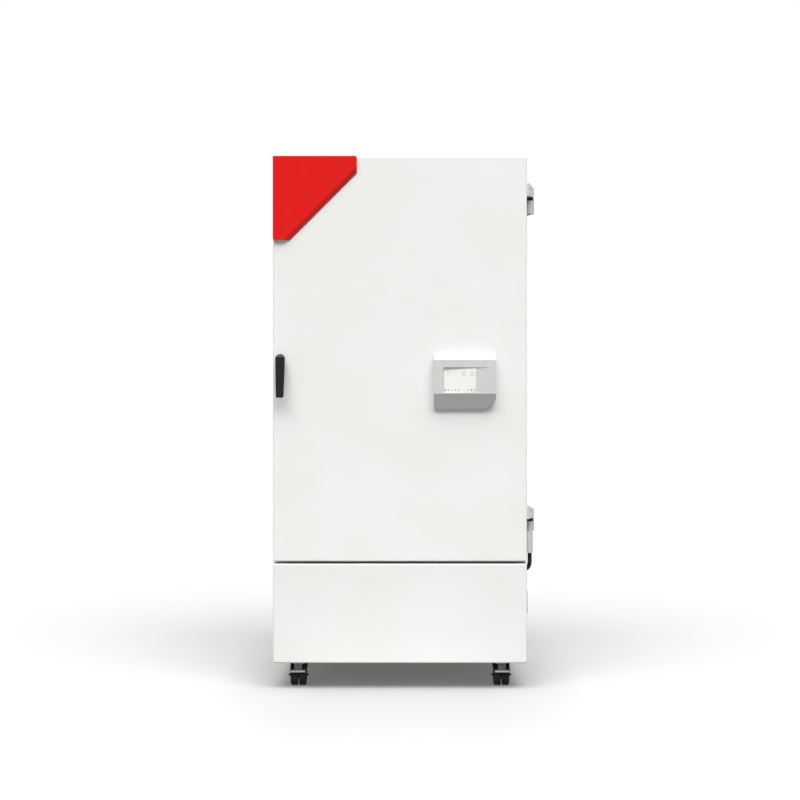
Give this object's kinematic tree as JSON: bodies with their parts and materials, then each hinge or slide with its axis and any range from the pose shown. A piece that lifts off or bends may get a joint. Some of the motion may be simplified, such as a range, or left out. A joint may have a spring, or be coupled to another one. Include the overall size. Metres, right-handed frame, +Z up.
{
  "type": "environmental test chamber",
  "caption": "Tall insulated test cabinet on casters with a hinged outer door, inner glass door, wire racks, touch controller, air circulation fan and a refrigeration set in the base.",
  "frame": {"origin": "on the floor, under the middle of the cabinet's width and depth, hinges, handle and controller left out", "axes": "+X to the cabinet's right seen from the front, +Y to the rear, +Z up"},
  "size_m": [0.9655, 0.853, 1.945],
  "materials": {
    "white_coated_steel": "fine powder coat",
    "door_coated_steel": "fine powder coat",
    "rear_coated_steel": "powder coat",
    "galvanised_steel": "zinc coated sheet",
    "rigid_foam": "closed-cell foam, cut faces",
    "stainless_liner": "brushed stainless sheet",
    "inner_panel_steel": "brushed stainless sheet",
    "stainless_fittings": "satin stainless",
    "frame_plastic": "fine textured moulding",
    "silicone_seal": "matt silicone",
    "motor_enamel": "enamelled housing",
    "fin_aluminium": "mill-finish fins",
    "heater_sheath": "annealed tube",
    "black_plastic": "matt moulding",
    "black_enamel": "semi-gloss enamel",
    "copper": "drawn copper tube",
    "hinge_grey": "powder coat",
    "hinge_white": "powder coat",
    "bush_black": "acetal bush",
    "cable_rubber": "extruded sheath",
    "grommet_rubber": "moulded rubber",
    "zinc_steel": "bright zinc plate",
    "gasket_grey": "magnetic gasket profile",
    "red_plastic": "satin moulding",
    "controller_grey": "fine textured moulding",
    "display": "lit display behind a clear face",
    "circuit_board": "solder mask",
    "conduit_grey": "moulding",
    "handle_black": "satin moulding",
    "safety_glass": "toughened, polished edges",
    "latch_black": "moulded knob",
    "chromed_wire": "chrome plate",
    "impeller_aluminium": "spun sheet",
    "blade_plastic": "moulded blade",
    "rocker_green": "translucent moulding",
    "silicone_plug": "matt silicone",
    "caster_nylon": "glass-filled nylon",
    "wheel_tyre": "moulded tread"
  },
  "bodies": {
    "cabinet": {"outer_jacket": "white_coated_steel", "rear_panel": "rear_coated_steel", "rear_grille": "rear_coated_steel", "base_chassis": "galvanised_steel", "base_front_panel": "white_coated_steel", "foam_insulation": "rigid_foam", "inner_liner": "stainless_liner", "front_frame": "frame_plastic", "glass_seal": "silicone_seal", "rack_supports": "stainless_fittings", "air_baffle": "stainless_liner", "fan_motors": "motor_enamel", "evaporator_coil": "fin_aluminium", "heater_coil": "heater_sheath", "temperature_sensor": "stainless_fittings", "port_sleeve": "black_plastic", "compressor": "black_enamel", "condenser_coil": "fin_aluminium", "refrigerant_pipes": "copper", "electronics_box": "galvanised_steel", "power_inlet": "black_plastic", "hinge_brackets": "hinge_grey", "hinge_bushes": "bush_black", "door_cable": "cable_rubber", "cable_grommet": "grommet_rubber", "switch_bezel": "frame_plastic", "caster_plates": "zinc_steel"},
    "door": {"door_skin": "door_coated_steel", "door_inner_panel": "inner_panel_steel", "door_foam": "rigid_foam", "door_gasket": "gasket_grey", "corner_plate": "red_plastic", "controller_housing": "controller_grey", "display_glass": "display", "controller_board": "circuit_board", "handle_base": "black_plastic", "hinge_knuckles": "hinge_white", "cable_conduit": "conduit_grey"},
    "lever": {"handle_lever": "handle_black"},
    "plunger": {"push_off_plunger": "stainless_fittings"},
    "glass_door": {"glass_pane": "safety_glass", "glass_hinges": "stainless_fittings"},
    "latch": {"glass_latch": "latch_black"},
    "rack_low": {"rack_1": "chromed_wire"},
    "rack_mid": {"rack_2": "chromed_wire"},
    "rack_top": {"rack_3": "chromed_wire"},
    "impeller": {"fan_impeller": "impeller_aluminium"},
    "condenser_fan": {"condenser_blade": "blade_plastic"},
    "rocker": {"power_rocker": "rocker_green"},
    "plug": {"port_plug": "silicone_plug"},
    "caster_front_left": {"caster_fork_fl": "caster_nylon"},
    "wheels_front_left": {"caster_wheels_fl": "wheel_tyre"},
    "caster_front_right": {"caster_fork_fr": "caster_nylon"},
    "wheels_front_right": {"caster_wheels_fr": "wheel_tyre"},
    "caster_rear_left": {"caster_fork_rl": "caster_nylon"},
    "wheels_rear_left": {"caster_wheels_rl": "wheel_tyre"},
    "caster_rear_right": {"caster_fork_rr": "caster_nylon"},
    "wheels_rear_right": {"caster_wheels_rr": "wheel_tyre"},
    "pedal_front_left": {"brake_pedal_l": "zinc_steel"},
    "pedal_front_right": {"brake_pedal_r": "zinc_steel"}
  },
  "joints": [
    {"name": "door_hinge", "type": "hinge", "parent": "cabinet", "child": "door", "pos_m": [0.4785, -0.331, 1.2], "axis": [0, 0, 1], "range_deg": [0, 115]},
    {"name": "lever_pivot", "type": "hinge", "parent": "door", "child": "lever", "pos_m": [-0.4345, -0.421, 1.204], "axis": [-1, 0, 0], "range_deg": [0, 30]},
    {"name": "plunger_slide", "type": "slide", "parent": "door", "child": "plunger", "axis": [0, 1, 0], "range_m": [0, 0.0068]},
    {"name": "glass_door_hinge", "type": "hinge", "parent": "cabinet", "child": "glass_door", "pos_m": [0.346, -0.3178, 1.175], "axis": [0, 0, 1], "range_deg": [0, 105]},
    {"name": "latch_turn", "type": "hinge", "parent": "glass_door", "child": "latch", "pos_m": [-0.317, -0.3103, 1.175], "axis": [0, -1, 0], "range_deg": [0, 90]},
    {"name": "rack_low_slide", "type": "slide", "parent": "cabinet", "child": "rack_low", "axis": [0, -1, 0], "range_m": [0, 0.0277]},
    {"name": "rack_mid_slide", "type": "slide", "parent": "cabinet", "child": "rack_mid", "axis": [0, -1, 0], "range_m": [0, 0.0277]},
    {"name": "rack_top_slide", "type": "slide", "parent": "cabinet", "child": "rack_top", "axis": [0, -1, 0], "range_m": [0, 0.0277]},
    {"name": "circulation_fan_spin", "type": "hinge", "parent": "cabinet", "child": "impeller", "pos_m": [0, 0.2245, 1.5], "axis": [0, 1, 0], "continuous": true},
    {"name": "condenser_fan_spin", "type": "hinge", "parent": "cabinet", "child": "condenser_fan", "pos_m": [-0.28, 0.3, 0.279], "axis": [0, 1, 0], "continuous": true},
    {"name": "power_rocker_tilt", "type": "hinge", "parent": "cabinet", "child": "rocker", "pos_m": [0.468, -0.292, 0.312], "axis": [0, -1, 0], "range_deg": [0, 14]},
    {"name": "port_plug_pull", "type": "slide", "parent": "cabinet", "child": "plug", "axis": [-1, 0, 0], "range_m": [0, 0.14]},
    {"name": "swivel_front_left", "type": "hinge", "parent": "cabinet", "child": "caster_front_left", "pos_m": [-0.376, -0.262, 0.095], "axis": [0, 0, 1], "continuous": true},
    {"name": "roll_front_left", "type": "hinge", "parent": "caster_front_left", "child": "wheels_front_left", "pos_m": [-0.376, -0.29, 0.0375], "axis": [1, 0, 0], "continuous": true},
    {"name": "swivel_front_right", "type": "hinge", "parent": "cabinet", "child": "caster_front_right", "pos_m": [0.376, -0.262, 0.095], "axis": [0, 0, 1], "continuous": true},
    {"name": "roll_front_right", "type": "hinge", "parent": "caster_front_right", "child": "wheels_front_right", "pos_m": [0.376, -0.29, 0.0375], "axis": [1, 0, 0], "continuous": true},
    {"name": "swivel_rear_left", "type": "hinge", "parent": "cabinet", "child": "caster_rear_left", "pos_m": [-0.376, 0.262, 0.095], "axis": [0, 0, 1], "continuous": true},
    {"name": "roll_rear_left", "type": "hinge", "parent": "caster_rear_left", "child": "wheels_rear_left", "pos_m": [-0.376, 0.234, 0.0375], "axis": [1, 0, 0], "continuous": true},
    {"name": "swivel_rear_right", "type": "hinge", "parent": "cabinet", "child": "caster_rear_right", "pos_m": [0.376, 0.262, 0.095], "axis": [0, 0, 1], "continuous": true},
    {"name": "roll_rear_right", "type": "hinge", "parent": "caster_rear_right", "child": "wheels_rear_right", "pos_m": [0.376, 0.234, 0.0375], "axis": [1, 0, 0], "continuous": true},
    {"name": "brake_front_left", "type": "hinge", "parent": "caster_front_left", "child": "pedal_front_left", "pos_m": [-0.376, -0.31, 0.084], "axis": [1, 0, 0], "range_deg": [0, 8]},
    {"name": "brake_front_right", "type": "hinge", "parent": "caster_front_right", "child": "pedal_front_right", "pos_m": [0.376, -0.31, 0.084], "axis": [1, 0, 0], "range_deg": [0, 8]}
  ],
  "couplings": [
    {"joint": "glass_door_hinge", "follows": "door_hinge", "ratio": 0.9},
    {"joint": "plunger_slide", "follows": "lever_pivot", "m_per_rad": 0.01285}
  ]
}
